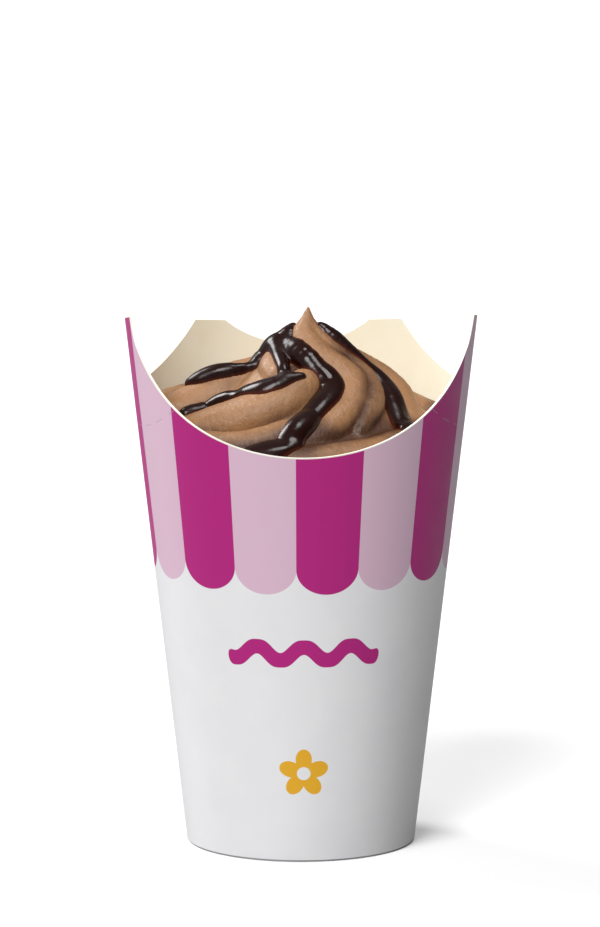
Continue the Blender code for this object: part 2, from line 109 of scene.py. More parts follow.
def sun(name, strength, azimuth, elevation, softness):
    """A sun lamp that shines from an azimuth round the cup (0 is the front, 90 the right)."""
    lamp = bpy.data.objects.new(name, bpy.data.lights.new(name, "SUN"))
    lamp.data.energy = strength
    lamp.data.angle = math.radians(softness)
    lamp.rotation_euler = (math.radians(90 - elevation), 0.0, math.radians(azimuth))
    scene.collection.objects.link(lamp)
    return lamp


sun("key_lamp", 2.75, -25, 42, 30)
sun("rim_lamp", 2.3, -126, 36, 26)
sun("top_lamp", 1.4, 55, 76, 24)

world = bpy.data.worlds.new("studio")
scene.world = world
world.use_nodes = True
sky = world.node_tree
where = sky.nodes.new("ShaderNodeTexCoord")
split = sky.nodes.new("ShaderNodeSeparateXYZ")
across = sky.nodes.new("ShaderNodeMapRange")
across.inputs["From Min"].default_value = -1.0
across.inputs["To Min"].default_value = SKY_LEFT
across.inputs["To Max"].default_value = SKY_RIGHT
sky.links.new(where.outputs["Generated"], split.inputs[0])
sky.links.new(split.outputs["X"], across.inputs["Value"])
sky.links.new(across.outputs["Result"], sky.nodes["Background"].inputs["Strength"])
sky.nodes["Background"].inputs["Color"].default_value = (1, 1, 1, 1)

# %% [markdown]
# ## Floor
# A white table. To the camera it is bright paper; what it throws back at the cup is kept lower, as a
# dark card beside a product does in a studio, so that the cup's shaded side stays shaded.

# %% Floor
SPAN = 3.0  # metres from the middle to each side
SEEN_WHITE, THROWN_WHITE = 0.8, 0.25  # what the camera sees, and what lights the cup

floor_mesh = bpy.data.meshes.new("floor")
corners = [(-SPAN, -SPAN, 0), (SPAN, -SPAN, 0), (SPAN, SPAN, 0), (-SPAN, SPAN, 0)]
floor_mesh.from_pydata(corners, [], [(0, 1, 2, 3)])
floor = bpy.data.objects.new("floor", floor_mesh)
scene.collection.objects.link(floor)
floor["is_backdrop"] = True
table_white = bpy.data.materials.new("table_white")
table_white.use_nodes = True
tree = table_white.node_tree
bright = tree.nodes["Principled BSDF"]
bright.inputs["Base Color"].default_value = (*[SEEN_WHITE] * 3, 1)
bright.inputs["Roughness"].default_value = 0.9
bright.inputs["Specular IOR Level"].default_value = 0.1
dull = tree.nodes.new("ShaderNodeBsdfDiffuse")
dull.inputs["Color"].default_value = (*[THROWN_WHITE] * 3, 1)
ray_kind = tree.nodes.new("ShaderNodeLightPath")
choose = tree.nodes.new("ShaderNodeMixShader")
tree.links.new(ray_kind.outputs["Is Camera Ray"], choose.inputs[0])
tree.links.new(dull.outputs[0], choose.inputs[1])
tree.links.new(bright.outputs[0], choose.inputs[2])
tree.links.new(choose.outputs[0], tree.nodes["Material Output"].inputs["Surface"])
floor_mesh.materials.append(table_white)
print("floor spans", 2 * SPAN, "m")

# %% [markdown]
# ## Small helpers for nodes
# Node trees get long when every link is spelled out. These two functions make a maths node, or a
# group with named sockets, in one line each, so that the cells below show only the idea.


# %% Node helpers
def maths(tree, operation, a, b=0.0, c=None):
    """A maths node whose inputs may be numbers or sockets."""
    node = tree.nodes.new("ShaderNodeMath")
    node.operation = operation
    for k, value in enumerate((a, b, c)):
        if value is None:
            continue
        if hasattr(value, "node"):
            tree.links.new(value, node.inputs[k])
        else:
            node.inputs[k].default_value = value
    return node.outputs[0]


def new_group(name, inputs, outputs):
    """A shader node group. inputs and outputs map a socket's name to its default number."""
    tree = bpy.data.node_groups.new(name, "ShaderNodeTree")
    for title, value in inputs.items():
        socket = tree.interface.new_socket(title, in_out="INPUT", socket_type="NodeSocketFloat")
        socket.default_value = value
    for title in outputs:
        tree.interface.new_socket(title, in_out="OUTPUT", socket_type="NodeSocketFloat")
    return tree, tree.nodes.new("NodeGroupInput"), tree.nodes.new("NodeGroupOutput")


def use_group(tree, group, **values):
    """Places a group in a tree. A value may be a number or a socket; spaces in names are underscores."""
    node = tree.nodes.new("ShaderNodeGroup")
    node.node_tree = group
    for title, value in values.items():
        socket = node.inputs[title.replace("_", " ")]
        if hasattr(value, "node"):
            tree.links.new(value, socket)
        else:
            socket.default_value = value
    return node


def smooth_step(tree, value, low, high):
    """0 below low, 1 above high, and a soft ramp between them."""
    node = tree.nodes.new("ShaderNodeMapRange")
    node.interpolation_type = "SMOOTHSTEP"
    tree.links.new(value, node.inputs["Value"])
    node.inputs["From Min"].default_value = low
    node.inputs["From Max"].default_value = high
    return node.outputs["Result"]


def blend_colours(tree, share, first, second):
    """Mixes two colours. The Mix node has sockets of one name per kind of data, so type tells them."""
    node = tree.nodes.new("ShaderNodeMix")
    node.data_type = "RGBA"
    factor = next(s for s in node.inputs if s.name == "Factor" and s.type == "VALUE")
    sides = [s for s in node.inputs if s.type == "RGBA"]
    result = next(s for s in node.outputs if s.type == "RGBA")
    tree.links.new(share, factor)
    for socket, value in zip(sides, (first, second)):
        if hasattr(value, "node"):
            tree.links.new(value, socket)
        else:
            socket.default_value = (*value, 1.0)
    return result


def noise(tree, size_mm, detail=2.0, roughness=0.5, stretch=(1, 1, 1), distortion=0.0):
    """3-D noise whose lumps are about size_mm across, read from the object's own coordinates."""
    place = tree.nodes.new("ShaderNodeTexCoord")
    mapping = tree.nodes.new("ShaderNodeMapping")
    mapping.inputs["Scale"].default_value = stretch
    texture = tree.nodes.new("ShaderNodeTexNoise")
    texture.inputs["Scale"].default_value = 1.0 / (size_mm * MM)
    texture.inputs["Detail"].default_value = detail
    texture.inputs["Roughness"].default_value = roughness
    texture.inputs["Distortion"].default_value = distortion
    tree.links.new(place.outputs["Object"], mapping.inputs["Vector"])
    tree.links.new(mapping.outputs["Vector"], texture.inputs["Vector"])
    return texture.outputs["Fac"]


def new_material(name, colour, roughness):
    """A material with the Principled shader, and its tree and shader node."""
    made = bpy.data.materials.new(name)
    made.use_nodes = True
    shader = made.node_tree.nodes["Principled BSDF"]
    shader.inputs["Base Color"].default_value = (*colour, 1.0)
    shader.inputs["Roughness"].default_value = roughness
    made.diffuse_color = (*colour, 1.0)
    return made, made.node_tree, shader


def bump(tree, shader, height, depth_mm, strength=1.0):
    """Feeds a height to the shader's normal; depth_mm is how deep the full range is."""
    node = tree.nodes.new("ShaderNodeBump")
    node.inputs["Strength"].default_value = strength
    node.inputs["Distance"].default_value = depth_mm * MM
    tree.links.new(height, node.inputs["Height"])
    tree.links.new(node.outputs["Normal"], shader.inputs["Normal"])
    return node


print("node helpers ready")

# %% [markdown]
# ## The cup's shape
# The wall is one flat sheet of board, cut along a wavy line, rolled into a cone and lapped at the
# back. Every straight line up the cone stays straight, so each column of the mesh needs a point only
# at its foot and at the cut. The cut is described as a height for each angle round the cup.

# %% The rim's cut
BASE_RADIUS = 25.0
FLARE = 0.118
PAPER = 0.5
SLANT = math.sqrt(1 + FLARE**2)
APEX = BASE_RADIUS / FLARE
SCOOP_LOW, SCOOP_RADIUS = 93.6, 79.0
SCOOP_STEEPENS, SCOOP_STEEPENING = 73.0, 0.26
TAB_FRONT, TAB_REAR = (76.5, 119.97), (91.0, 117.5)
DIP_ENTRY, DIP_LOW = (97.6, 106.7), (110.0, 101.2)
DIP_ENTRY_RADIUS, DIP_RADIUS = 8.8, 29.0
BACK_TAB = (143.0, 155.0)
NOTCH_LOW, NOTCH_RADIUS = 103.4, 24.7
SEAM_ANGLE, SEAM_HALF, SEAM_RAMP = 170.0, 4.4, 9.0
HEM_HEIGHT, GAP = 6.5, 0.3


def wall_radius(z):
    return BASE_RADIUS + FLARE * z


def scoop_height(angle):
    """A circle in the flat sheet, whose slant lines all meet at the cone's apex."""
    centre = (SCOOP_LOW + APEX) * SLANT + SCOOP_RADIUS
    turn = math.radians(angle) * FLARE / SLANT
    s = centre * math.cos(turn) - math.sqrt(SCOOP_RADIUS**2 - (centre * math.sin(turn)) ** 2)
    return s / SLANT - APEX + SCOOP_STEEPENING * max(0.0, angle - SCOOP_STEEPENS) ** 2


def arc_height(angle, low_angle, low, radius):
    along = math.radians(abs(angle - low_angle)) * wall_radius(low)
    return low + radius - math.sqrt(radius**2 - along**2)


def between(angle, start, end):
    share = (angle - start[0]) / (end[0] - start[0])
    return start[1] + share * (end[1] - start[1])


def rim_height(angle):
    a = abs((angle + 180.0) % 360.0 - 180.0)
    if a <= TAB_FRONT[0] - 1e-9:
        return min(scoop_height(a), TAB_FRONT[1])
    if a <= TAB_REAR[0]:
        return between(a, TAB_FRONT, TAB_REAR)
    if a <= DIP_ENTRY[0]:
        return between(a, TAB_REAR, DIP_ENTRY)
    if a <= DIP_LOW[0]:
        return arc_height(a, *DIP_LOW, DIP_ENTRY_RADIUS)
    if a <= BACK_TAB[0]:
        return arc_height(a, *DIP_LOW, DIP_RADIUS)
    if a <= BACK_TAB[1]:
        outer = (BACK_TAB[0], arc_height(BACK_TAB[0], *DIP_LOW, DIP_RADIUS))
        inner = (BACK_TAB[1], arc_height(BACK_TAB[1], 180.0, NOTCH_LOW, NOTCH_RADIUS))
        return between(a, outer, inner)
    return arc_height(a, 180.0, NOTCH_LOW, NOTCH_RADIUS)


def seam_lift(angle):
    """How far the lapped sheet stands out, on the outside and on the inside of the wall."""
    start = SEAM_ANGLE - SEAM_HALF
    if angle < start - SEAM_RAMP or angle > SEAM_ANGLE + SEAM_HALF:
        return 0.0, 0.0
    if angle < start:
        share = (angle - start + SEAM_RAMP) / SEAM_RAMP
        rise = PAPER * share * share * (3 - 2 * share)
        return rise, rise
    return PAPER, 0.0


print("rim heights in mm:", {a: round(rim_height(a), 1) for a in (0, 45, 76.5, 110, 149, 180)})

# %% [markdown]
# The sleeve is built column by column. Print stops a little short of the knife's cut, so a narrow
# strip under the edge is bare board, and that strip gets its own row of faces. Three material slots
# tell print, bare inside and bare edge apart. Edges that are sharp in real board are marked sharp.

# %% The sleeve's mesh
COLUMN_STEP = 1.0
BARE_STRIP = 0.26
PRINTED, INSIDE, CUT_EDGE = 0, 1, 2


def sleeve_angles():
    marks = []
    for corner in (TAB_FRONT[0], TAB_REAR[0], DIP_ENTRY[0], *BACK_TAB):
        marks += [corner, -corner]
    for lap in (SEAM_ANGLE - SEAM_HALF, SEAM_ANGLE + SEAM_HALF):
        marks += [lap - 0.05, lap + 0.05]
    even = [COLUMN_STEP * k - 180.0 for k in range(int(360 / COLUMN_STEP))]
    even = [a for a in even if min(abs(a - m) for m in marks) > 0.4 * COLUMN_STEP]
    return sorted(even + marks)


def strip_drop(angle):
    """How far below the cut the print ends, so that the strip is equally wide along a slope."""
    step = 0.5
    rise = rim_height(angle + step) - rim_height(angle - step)
    run = math.radians(2 * step) * wall_radius(rim_height(angle))
    return BARE_STRIP * min(2.6, math.hypot(1.0, rise / run))


def sleeve_section(angle):
    """(distance from the cone, height, material of the face that starts here) round one column."""
    out, inside = seam_lift(angle)
    top = rim_height(angle)
    hem = 2 * PAPER + 2 * GAP
    return [
        (out, 0.45, PRINTED),
        (out, top - strip_drop(angle), CUT_EDGE),
        (out, top, CUT_EDGE),
        (inside - PAPER, top, INSIDE),
        (inside - PAPER, PAPER + 0.1, INSIDE),
        (-hem, PAPER + 0.1, PRINTED),
        (-hem, HEM_HEIGHT, CUT_EDGE),
        (-hem - PAPER, HEM_HEIGHT, INSIDE),
        (-hem - PAPER, 0.4, INSIDE),
        (-hem - PAPER + 0.4, 0.0, PRINTED),
        (-0.4, 0.0, PRINTED),
    ]


def build_sleeve():
    points, faces, slots = [], [], []
    angles = sleeve_angles()
    for angle in angles:
        t = math.radians(angle)
        for offset, z, _ in sleeve_section(angle):
            r = wall_radius(z) + offset
            points.append((r * math.sin(t) * MM, -r * math.cos(t) * MM, z * MM))
    size = len(sleeve_section(0.0))
    kinds = [kind for _, _, kind in sleeve_section(0.0)]
    for c in range(len(angles)):
        left, right = c * size, (c + 1) % len(angles) * size
        for k in range(size):
            n = (k + 1) % size
            faces.append((left + k, right + k, right + n, left + n))
            slots.append(kinds[k])
    mesh = bpy.data.meshes.new("cup_sleeve")
    mesh.from_pydata(points, [], faces)
    mesh.polygons.foreach_set("material_index", slots)
    bm = bmesh.new()
    bm.from_mesh(mesh)
    bmesh.ops.recalc_face_normals(bm, faces=bm.faces)
    for face in bm.faces:
        face.smooth = True
    for edge in bm.edges:
        edge.smooth = edge.calc_face_angle(0.0) < math.radians(28)
    bm.to_mesh(mesh)
    bm.free()
    return mesh


cup_sleeve = bpy.data.objects.new("cup_sleeve", build_sleeve())
scene.collection.objects.link(cup_sleeve)
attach(cup_sleeve, "root")
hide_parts("cup_wall")
print("sleeve faces:", len(cup_sleeve.data.polygons))

# %% [markdown]
# ## The print
# Printed board could carry an image, but this pattern is all geometry: stripes that stand on the
# cone's own straight lines and end in round tongues. So the print is worked out from two numbers at
# each point, the angle round the cup and the height, which one group gives to every other group.

# %% Where a point lies on the cup
cup_place, given, out = new_group("place_on_cup", {}, ["Angle", "Height", "Around"])
coords = cup_place.nodes.new("ShaderNodeTexCoord")
xyz = cup_place.nodes.new("ShaderNodeSeparateXYZ")
cup_place.links.new(coords.outputs["Object"], xyz.inputs[0])
front = maths(cup_place, "MULTIPLY", xyz.outputs["Y"], -1.0)
angle = maths(cup_place, "DEGREES", maths(cup_place, "ARCTAN2", xyz.outputs["X"], front))
height = maths(cup_place, "DIVIDE", xyz.outputs["Z"], MM)
radius = maths(cup_place, "MULTIPLY_ADD", height, FLARE, BASE_RADIUS)
around = maths(cup_place, "MULTIPLY", maths(cup_place, "RADIANS", angle), radius)
for title, socket in (("Angle", angle), ("Height", height), ("Around", around)):
    cup_place.links.new(socket, out.inputs[title])
print("group:", cup_place.name)

# %% [markdown]
# ### Stripes
# The stripes are equally wide in the flat sheet, deep and pale in turn, and don't quite meet at the
# lap. So angles are counted from the lap's edge, not from a full turn. Folding the angle into one
# stripe gives a number from -1 to 1 across it, and half an ellipse of that number is the round end.

# %% Awning stripes
STRIPE_PITCH = 24.47
STRIPE_CENTRE = 9.16  # angle of the middle of a deep stripe
LAP_EDGE = SEAM_ANGLE + SEAM_HALF
STRIPE_END = 61.8  # height of the lowest point of each
ROUND_END = 5.7

stripes, given, out = new_group(
    "awning_stripes", {"Centre": STRIPE_CENTRE, "End": STRIPE_END, "Roundness": ROUND_END}, ["Deep", "Pale"]
)
calc = partial(maths, stripes)
place = use_group(stripes, cup_place)
past_lap = calc("GREATER_THAN", place.outputs["Angle"], LAP_EDGE)
unrolled = calc("MULTIPLY_ADD", past_lap, -360.0, place.outputs["Angle"])
turned = calc("SUBTRACT", unrolled, given.outputs["Centre"])
count = calc("DIVIDE", turned, STRIPE_PITCH)
nearest = calc("ROUND", count)
across = calc("MULTIPLY", calc("SUBTRACT", count, nearest), 2.0)
inside = calc("SUBTRACT", 1.0, calc("MULTIPLY", across, across))
inside = calc("MAXIMUM", inside, 0.0)
arc = calc("SUBTRACT", 1.0, calc("SQRT", inside))
edge = calc("MULTIPLY_ADD", arc, given.outputs["Roundness"], given.outputs["End"])
above = calc("SUBTRACT", place.outputs["Height"], edge)
printed = smooth_step(stripes, above, -0.05, 0.12)
parity = calc("PINGPONG", nearest, 1.0)
deep = calc("MULTIPLY", printed, calc("SUBTRACT", 1.0, parity))
pale = calc("MULTIPLY", printed, parity)
stripes.links.new(deep, out.inputs["Deep"])
stripes.links.new(pale, out.inputs["Pale"])
print("stripe width at the rim: %.1f mm" % (math.radians(STRIPE_PITCH) * wall_radius(110)))

# %% [markdown]
# ### Score lines
# The tabs can be folded over as a lid, so the board is scored in dashes where they bend. In the flat
# sheet each score is part of a circle. Its dashes are small grooves, with painted shade in them as fine
# grey lines.

# %% Score lines
score, given, out = new_group(
    "dashed_score", {"Angle": 84.0, "Lowest": 94.8, "Radius": 40.0, "Width": 0.16, "Pitch": 6.3}, ["Mask"]
)
calc = partial(maths, score)
place = use_group(score, cup_place)
slant = calc("MULTIPLY", calc("ADD", place.outputs["Height"], APEX), SLANT)
low = calc("MULTIPLY", calc("ADD", given.outputs["Lowest"], APEX), SLANT)
middle = calc("ADD", low, given.outputs["Radius"])
folded = calc("SUBTRACT", calc("ABSOLUTE", place.outputs["Angle"]), given.outputs["Angle"])
turn = calc("MULTIPLY", calc("RADIANS", folded), FLARE / SLANT)
flat_x = calc("MULTIPLY", slant, calc("SINE", turn))
flat_y = calc("SUBTRACT", calc("MULTIPLY", slant, calc("COSINE", turn)), middle)
squares = calc("ADD", calc("POWER", flat_x, 2.0), calc("MULTIPLY", flat_y, flat_y))
reach = calc("SQRT", squares)
off_line = calc("ABSOLUTE", calc("SUBTRACT", reach, given.outputs["Radius"]))
widths_off = calc("DIVIDE", off_line, given.outputs["Width"])
on_line = calc("SUBTRACT", 1.0, smooth_step(score, widths_off, 0.6, 1.4))
swing = calc("ARCTAN2", flat_x, calc("MULTIPLY", flat_y, -1.0))
run = calc("DIVIDE", calc("MULTIPLY", swing, given.outputs["Radius"]), given.outputs["Pitch"])
from_dash = calc("ABSOLUTE", calc("SUBTRACT", calc("FRACT", run), 0.5))
dash = smooth_step(score, from_dash, 0.24, 0.28)
lower_half = smooth_step(score, calc("MULTIPLY", flat_y, -1.0), 0.0, 1.0)
mask = calc("MULTIPLY", calc("MULTIPLY", on_line, calc("SUBTRACT", 1.0, dash)), lower_half)
score.links.new(mask, out.inputs["Mask"])
print("group:", score.name)

# %% [markdown]
# ### Decorations below the stripes
# A plain ribbon of piped waves and a small five-petalled flower keep the white part from being
# empty. Each is a formula in millimetres on the wall: distance from a sine line, and distance from
# the middle against a radius that rises and falls five times.

# %% Ribbon and flower
ribbon, given, out = new_group(
    "wavy_ribbon",
    {"Height": 48.2, "Half width": 15.8, "Swing": 1.5, "Waves": 3.0, "Thickness": 1.7},
    ["Mask"],
)
calc = partial(maths, ribbon)
place = use_group(ribbon, cup_place)
along = calc("DIVIDE", place.outputs["Around"], given.outputs["Half width"])
phase = calc("MULTIPLY", calc("MULTIPLY", along, given.outputs["Waves"]), math.pi)
line = calc("MULTIPLY_ADD", calc("COSINE", phase), given.outputs["Swing"], given.outputs["Height"])
slope = calc("MULTIPLY", calc("SINE", phase), given.outputs["Swing"])
slope = calc("MULTIPLY", slope, calc("MULTIPLY", given.outputs["Waves"], math.pi))
slope = calc("DIVIDE", slope, given.outputs["Half width"])
steep = calc("SQRT", calc("MULTIPLY_ADD", slope, slope, 1.0))
off = calc("SUBTRACT", place.outputs["Height"], line)
straight = calc("DIVIDE", off, steep)
side = calc("ABSOLUTE", place.outputs["Around"])
past = calc("MAXIMUM", calc("SUBTRACT", side, given.outputs["Half width"]), 0.0)
reach_out = calc("MULTIPLY_ADD", past, past, calc("MULTIPLY", straight, straight))
rest = calc("SUBTRACT", calc("SQRT", reach_out), given.outputs["Thickness"])
body = calc("SUBTRACT", 1.0, smooth_step(ribbon, rest, -0.06, 0.06))
ribbon.links.new(body, out.inputs["Mask"])

flower, given, out = new_group(
    "petal_flower", {"Height": 20.5, "Radius": 5.6, "Petals": 5.0, "Eye": 1.5}, ["Mask"]
)
calc = partial(maths, flower)
place = use_group(flower, cup_place)
up = calc("SUBTRACT", place.outputs["Height"], given.outputs["Height"])
sideways = place.outputs["Around"]
squares = calc("ADD", calc("MULTIPLY", up, up), calc("MULTIPLY", sideways, sideways))
span_out = calc("SQRT", squares)
bearing = calc("MULTIPLY", calc("ARCTAN2", sideways, up), given.outputs["Petals"])
lobe = calc("POWER", calc("MULTIPLY_ADD", calc("COSINE", bearing), 0.5, 0.5), 0.5)
rim_of_petal = calc("MULTIPLY", given.outputs["Radius"], calc("MULTIPLY_ADD", lobe, 0.48, 0.52))
past_petal = calc("SUBTRACT", span_out, rim_of_petal)
petal = calc("SUBTRACT", 1.0, smooth_step(flower, past_petal, -0.06, 0.06))
eye = smooth_step(flower, calc("SUBTRACT", span_out, given.outputs["Eye"]), -0.06, 0.06)
on_front = calc("LESS_THAN", calc("ABSOLUTE", place.outputs["Angle"]), 60.0)
flower.links.new(calc("MULTIPLY", calc("MULTIPLY", petal, eye), on_front), out.inputs["Mask"])
print("groups:", ribbon.name, flower.name)

# %% [markdown]
# ### Board
# Paperboard is pressed fibre. Even printed, it has a fine felt-like relief and is a touch cloudy.
# One group gives that relief and cloudiness, and every paper finish takes its own amount of it.

# %% Paper fibre
fibre, given, out = new_group("paper_fibre", {"Relief": 1.0, "Cloud": 1.0}, ["Height", "Tone"])
felt = noise(fibre, 0.9, detail=3.0, roughness=0.6, stretch=(1.0, 1.0, 1.6))
crossed = noise(fibre, 0.45, detail=1.0, roughness=0.5, stretch=(1.5, 1.5, 0.6))
clouds = noise(fibre, 9.0, detail=2.0, roughness=0.5)
relief = maths(fibre, "MULTIPLY_ADD", crossed, 0.5, felt)
fibre.links.new(maths(fibre, "MULTIPLY", relief, given.outputs["Relief"]), out.inputs["Height"])
cloudy = maths(fibre, "MULTIPLY", maths(fibre, "SUBTRACT", clouds, 0.5), given.outputs["Cloud"])
fibre.links.new(cloudy, out.inputs["Tone"])
print("group:", fibre.name)

# %% [markdown]
# The outside is varnished lightly: smooth enough to catch the lamp along its side, and rough enough
# not to mirror anything.

# %% Paper finishes
WHITE = (0.84, 0.84, 0.85)
SHADOW_WHITE = (0.78, 0.78, 0.80)
DEEP_PINK = (0.45, 0.012, 0.20)
PALE_PINK = (0.70, 0.48, 0.60)
SUNNY = (0.80, 0.42, 0.02)
SCORE_GROOVE_SHADE = (0.36, 0.34, 0.36)
BARE_PALE, BARE_DARK = (0.86, 0.81, 0.66), (0.80, 0.74, 0.56)
EDGE_PALE, EDGE_DARK = (0.92, 0.89, 0.80), (0.82, 0.77, 0.66)

print_mat, tree, shader = new_material("printed_board", WHITE, 0.42)
board = use_group(tree, fibre, Relief=1.0, Cloud=1.0)
cloud_share = maths(tree, "MULTIPLY_ADD", board.outputs["Tone"], 1.2, 0.35)
colour = blend_colours(tree, cloud_share, WHITE, SHADOW_WHITE)
bands = use_group(tree, stripes)
colour = blend_colours(tree, bands.outputs["Pale"], colour, PALE_PINK)
colour = blend_colours(tree, bands.outputs["Deep"], colour, DEEP_PINK)
colour = blend_colours(tree, use_group(tree, ribbon).outputs["Mask"], colour, DEEP_PINK)
colour = blend_colours(tree, use_group(tree, flower).outputs["Mask"], colour, SUNNY)
side_score = use_group(tree, score)
back_score = use_group(tree, score, Angle=147.0, Lowest=96.5)
scored = maths(tree, "MAXIMUM", side_score.outputs["Mask"], back_score.outputs["Mask"])
# painted shade: a grey laid into the score dashes; the grooves themselves are the bump below
colour = blend_colours(tree, maths(tree, "MULTIPLY", scored, 0.32), colour, SCORE_GROOVE_SHADE)
tree.links.new(colour, shader.inputs["Base Color"])
tree.links.new(maths(tree, "MULTIPLY_ADD", board.outputs["Tone"], 0.25, 0.42), shader.inputs["Roughness"])
surface = maths(tree, "SUBTRACT", board.outputs["Height"], maths(tree, "MULTIPLY", scored, 2.0))
bump(tree, shader, surface, 0.02, 0.7)
shader.inputs["Specular IOR Level"].default_value = 0.4

inside_mat, tree, shader = new_material("bare_board_inside", (0.85, 0.80, 0.62), 0.62)
board = use_group(tree, fibre, Relief=1.2, Cloud=1.0)
cloud_share = maths(tree, "MULTIPLY_ADD", board.outputs["Tone"], 1.6, 0.4)
colour = blend_colours(tree, cloud_share, BARE_PALE, BARE_DARK)
tree.links.new(colour, shader.inputs["Base Color"])
tree.links.new(maths(tree, "MULTIPLY_ADD", board.outputs["Tone"], 0.3, 0.62), shader.inputs["Roughness"])
bump(tree, shader, board.outputs["Height"], 0.02, 0.6)

edge_mat, tree, shader = new_material("cut_board_edge", (0.90, 0.87, 0.78), 0.7)
board = use_group(tree, fibre, Relief=1.5, Cloud=1.4)
cloud_share = maths(tree, "MULTIPLY_ADD", board.outputs["Tone"], 1.6, 0.35)
colour = blend_colours(tree, cloud_share, EDGE_PALE, EDGE_DARK)
tree.links.new(colour, shader.inputs["Base Color"])
tree.links.new(maths(tree, "MULTIPLY_ADD", board.outputs["Tone"], 0.3, 0.7), shader.inputs["Roughness"])
bump(tree, shader, board.outputs["Height"], 0.03, 0.8)

for finish in (print_mat, inside_mat, edge_mat):
    cup_sleeve.data.materials.append(finish)
floor_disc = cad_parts["cup_floor"]
floor_disc.data.materials.clear()
floor_disc.data.materials.append(inside_mat)
print("sleeve finishes:", [m.name for m in cup_sleeve.data.materials])

# %% [markdown]
# ## The soft serve
# Soft serve leaves the nozzle as a thick rope that coils, folds over itself and sinks a little. So the
# heap is described in those words: a low mound, and ropes laid on it. Each rope is listed from its
# top to its foot as an angle round the axis, a distance from it, a lift above the mound and a radius.

# %% The mound and its ropes
AXIS = (1.5, 1.0)  # the swirl's axis stands a little off the cup's
MOUND = (
    (0.0, 119.4), (0.8, 118.4), (2.0, 116.4), (6.0, 112.9), (10.0, 109.4), (15.0, 105.6), (20.0, 101.4),
    (25.0, 97.0), (30.0, 93.8), (37.0, 92.4),
)
MOUND_DROP = 1.2
MELT = 0.55
RIB_STEPS = 4
RIBS = {
    "main": (
        (-31, 0.05, 0.1, 0.35), (-28, 1.3, 0.2, 1.2), (-22, 4.0, 0.8, 3.0), (12, 7.6, 1.2, 4.4),
        (36, 11.1, 1.6, 5.0), (43, 15.2, 2.0, 5.2), (39, 18.1, 2.2, 5.2), (29, 20.7, 2.3, 5.2),
        (16, 23.2, 2.4, 5.0), (4, 26.1, 2.4, 4.8), (-6, 29.2, 2.4, 4.5),
    ),
    "fold": (
        (50, 0.6, -0.2, 0.7), (48, 2.8, -0.1, 1.7), (52, 6.0, 0.3, 2.4), (64, 10.0, 0.8, 2.8),
        (66, 13.0, 1.2, 3.0), (59, 17.0, 1.9, 3.2), (48, 20.5, 2.4, 3.2), (37, 23.0, 2.0, 2.8),
        (28, 25.0, 0.6, 2.0),
    ),
    "right": (
        (100, 4.0, -0.8, 3.0), (104, 9.0, 0.4, 4.6), (104, 14.0, 1.6, 5.4), (98, 18.6, 2.6, 5.8),
        (88, 21.8, 2.6, 5.6), (74, 24.0, 2.0, 5.0), (62, 28.0, 1.2, 4.5), (54, 33.0, 1.0, 4.2),
        (44, 39.0, 0.8, 4.0),
    ),
    "under": (
        (-3, 29.5, -1.0, 4.0), (10, 27.5, -1.0, 4.0), (28, 26.0, -1.2, 4.0), (44, 25.5, -1.2, 4.0),
        (56, 26.5, -1.0, 4.0),
    ),
    "foot": (
        (-44, 38.0, 0.6, 4.0), (-22, 33.5, 1.4, 4.0), (-4, 32.0, 1.6, 4.2), (10, 31.0, 1.8, 4.5),
        (28, 30.5, 1.8, 4.5), (45, 29.5, 1.4, 4.5), (60, 31.0, 0.8, 4.2), (72, 36.0, 0.0, 4.0),
    ),
    "left_upper": (
        (-120, 4.5, -1.2, 2.6), (-105, 9.0, -1.8, 4.2), (-95, 14.0, 1.0, 5.0), (-90, 20.0, 4.2, 6.0),
        (-86, 26.0, 6.4, 6.2), (-80, 32.0, 6.8, 6.0), (-74, 40.0, 6.0, 6.0),
    ),
    "left_middle": (
        (-74, 39.0, 2.4, 5.0), (-66, 31.0, 3.8, 5.4), (-53, 26.5, 4.0, 5.6), (-38, 23.6, 3.9, 5.8),
        (-24, 20.6, 3.4, 5.6), (-12, 17.6, 3.0, 5.0), (-6, 15.6, 2.2, 4.4),
    ),
    "left_lower": (
        (-62, 39.0, 1.6, 4.2), (-50, 34.0, 3.2, 4.2), (-30, 32.0, 4.0, 4.4), (-20, 29.8, 4.2, 4.4),
        (-11, 27.7, 3.8, 4.2), (-4, 26.0, 2.6, 4.0),
    ),
    "shoulder": (
        (-100, 2.0, -0.3, 1.0), (-95, 4.5, 0.0, 2.6), (-75, 8.0, 0.4, 3.6), (-55, 11.0, 0.9, 4.0),
        (-35, 13.0, 1.0, 4.0),
    ),
    "back_middle": (
        (150, 1.2, -0.2, 0.8), (165, 6.0, 0.6, 4.0), (-178, 11.0, 0.8, 5.0), (-172, 17.0, 2.0, 5.5),
        (-178, 22.0, 2.8, 5.5), (170, 27.0, 3.2, 5.5), (152, 32.0, 2.2, 5.0), (140, 38.0, 1.0, 5.0),
    ),
    "back_left": (
        (-140, 2.5, -0.2, 1.6), (-135, 8.0, -0.6, 4.5), (-128, 14.0, -0.4, 5.0), (-125, 20.0, 2.8, 5.6),
        (-130, 26.0, 4.6, 5.8), (-140, 32.0, 4.2, 5.4), (-150, 39.0, 3.0, 5.0),
    ),
    "back_right": (
        (120, 4.0, -0.2, 2.6), (128, 10.0, 0.8, 4.6), (135, 16.0, 2.0, 5.2), (135, 22.0, 2.6, 5.4),
        (126, 27.0, 2.2, 5.2), (114, 32.0, 1.4, 4.6), (104, 38.0, 0.6, 4.4),
    ),
    "outer_coil": (
        (-100, 33.0, 6.0, 4.5), (-125, 33.0, 5.0, 4.6), (-150, 33.0, 4.2, 4.6), (-175, 33.0, 3.2, 4.4),
        (160, 33.0, 2.2, 4.2), (130, 33.0, 1.2, 4.2), (100, 33.0, 0.6, 4.0), (80, 33.0, 0.2, 4.0),
    ),
}
